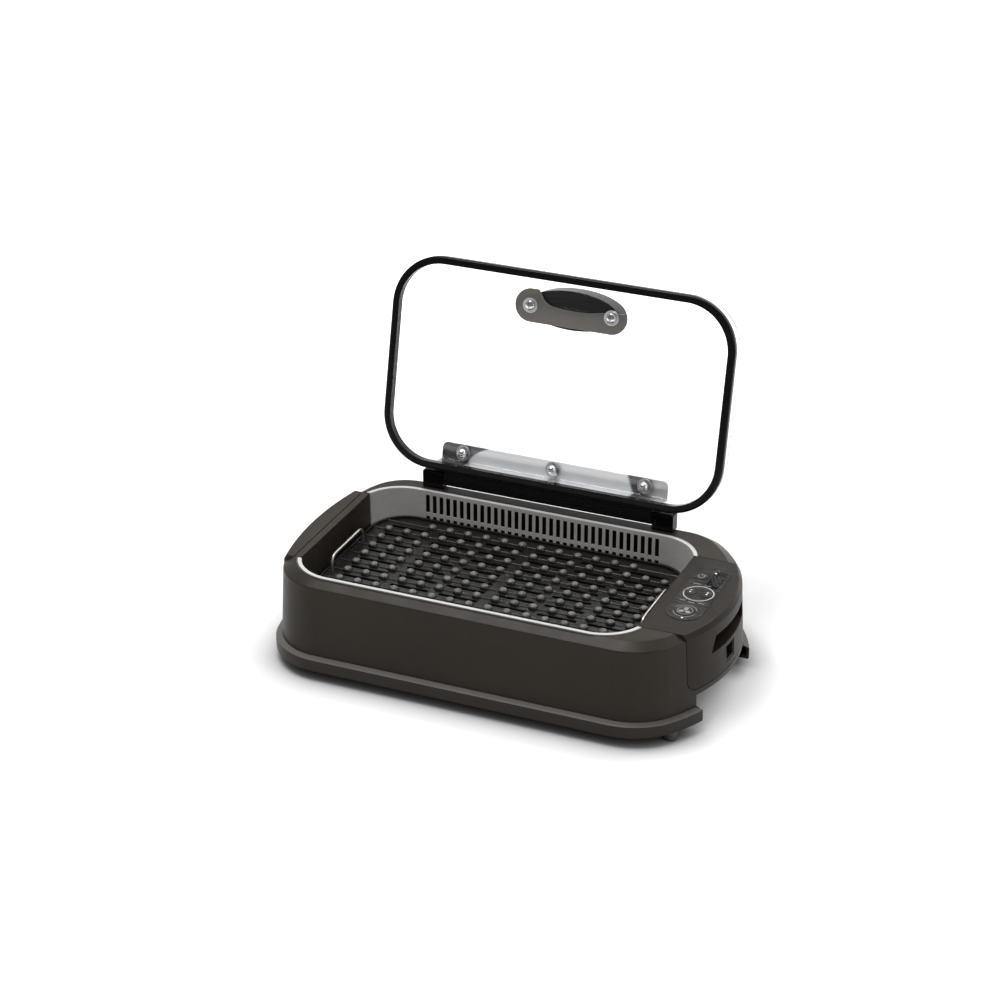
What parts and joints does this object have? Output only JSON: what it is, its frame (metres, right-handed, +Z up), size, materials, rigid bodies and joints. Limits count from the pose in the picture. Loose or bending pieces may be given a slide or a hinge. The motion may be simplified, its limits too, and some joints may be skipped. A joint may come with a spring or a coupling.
{
  "type": "smokeless grill",
  "caption": "Countertop electric smokeless grill with a hinged clear glass lid, lift-out grill plate, silver pan, right-hand control module and an extractor fan in the base.",
  "frame": {"origin": "on the table under the middle of the whole object with its lid open", "axes": "+X to the right along the long side, towards the control module, +Y to the rear, +Z up"},
  "size_m": [0.4744, 0.3508, 0.3537],
  "materials": {
    "body_plastic": "satin",
    "skirt_plastic": "satin",
    "module_plastic": "satin",
    "foot_rubber": "matte",
    "pan_steel": "satin",
    "plate_coating": "satin non-stick",
    "wire_chrome": "polished",
    "element_steel": "satin",
    "brace_steel": "satin",
    "bush_ceramic": "matte",
    "lid_glass": "clear",
    "trim_gloss": "gloss",
    "hinge_gloss": "gloss",
    "bracket_steel": "bright",
    "fastener_chrome": "polished",
    "grip_plastic": "gloss",
    "grip_plate_plastic": "satin",
    "panel_gloss": "gloss",
    "display_gloss": "gloss",
    "key_plastic": "gloss",
    "board_green": "satin",
    "switch_plastic": "satin",
    "inlet_plastic": "satin",
    "contact_brass": "plated",
    "fan_plastic": "satin",
    "motor_metal": "satin",
    "screw_steel": "zinc",
    "lead_rubber": "matte"
  },
  "bodies": {
    "base": {"base_skirt": "skirt_plastic", "outer_housing": "body_plastic", "left_handle": "body_plastic", "base_screws": "screw_steel", "foot_front_left": "foot_rubber", "foot_front_right": "foot_rubber", "foot_rear_left": "foot_rubber", "foot_rear_right": "foot_rubber", "fan_frame": "fan_plastic", "fan_motor": "motor_metal", "fan_screws": "screw_steel", "contact_block": "inlet_plastic", "fan_lead": "lead_rubber"},
    "fan": {"fan_impeller": "fan_plastic"},
    "hinge_mount": {"hinge_block_left": "hinge_gloss", "hinge_block_right": "hinge_gloss", "hinge_pins": "screw_steel"},
    "lid": {"lid_trim": "trim_gloss", "lid_glass": "lid_glass", "hinge_bracket": "bracket_steel", "hinge_barrel": "hinge_gloss", "bracket_fasteners": "fastener_chrome", "lid_grip": "grip_plastic", "grip_plate": "grip_plate_plastic", "grip_screws": "fastener_chrome"},
    "pan_body": {"pan": "pan_steel"},
    "module": {"module_shell": "module_plastic", "module_cover": "module_plastic", "control_panel": "panel_gloss", "display_window": "display_gloss", "control_board": "board_green", "key_switches": "switch_plastic", "inlet_socket": "inlet_plastic", "inlet_pins": "contact_brass", "heating_element": "element_steel", "element_braces": "brace_steel", "element_bushes": "bush_ceramic", "contact_pins": "contact_brass"},
    "plate": {"grill_plate": "plate_coating", "plate_handle_left": "wire_chrome", "plate_handle_right": "wire_chrome"},
    "power_button": {"power_key": "key_plastic"},
    "cooler_button": {"cooler_key": "key_plastic"},
    "hotter_button": {"hotter_key": "key_plastic"},
    "fan_button": {"fan_key": "key_plastic"}
  },
  "joints": [
    {"name": "fan_spin", "type": "hinge", "parent": "base", "child": "fan", "pos_m": [-0.01769, -0.02985, 0.028], "axis": [0, 0, 1], "continuous": true},
    {"name": "lid_lift", "type": "slide", "parent": "base", "child": "hinge_mount", "axis": [0, 0, 1], "range_m": [0, 0.06]},
    {"name": "lid_hinge", "type": "hinge", "parent": "hinge_mount", "child": "lid", "pos_m": [-0.01369, 0.08155, 0.121], "axis": [-1, 0, 0], "range_deg": [-103, 0]},
    {"name": "pan_lift", "type": "slide", "parent": "base", "child": "pan_body", "axis": [0, 0, 1], "range_m": [0, 0.12]},
    {"name": "module_lift", "type": "slide", "parent": "pan_body", "child": "module", "axis": [0, 0, 1], "range_m": [0, 0.12]},
    {"name": "plate_lift", "type": "slide", "parent": "module", "child": "plate", "axis": [0, 0, 1], "range_m": [0, 0.12]},
    {"name": "power_press", "type": "slide", "parent": "module", "child": "power_button", "axis": [0, 0, -1], "range_m": [0, 0.0006], "stiffness_N_per_m": 400},
    {"name": "cooler_press", "type": "slide", "parent": "module", "child": "cooler_button", "axis": [0, 0, -1], "range_m": [0, 0.0006], "stiffness_N_per_m": 400},
    {"name": "hotter_press", "type": "slide", "parent": "module", "child": "hotter_button", "axis": [0, 0, -1], "range_m": [0, 0.0006], "stiffness_N_per_m": 400},
    {"name": "fan_press", "type": "slide", "parent": "module", "child": "fan_button", "axis": [0, 0, -1], "range_m": [0, 0.0006], "stiffness_N_per_m": 400}
  ]
}
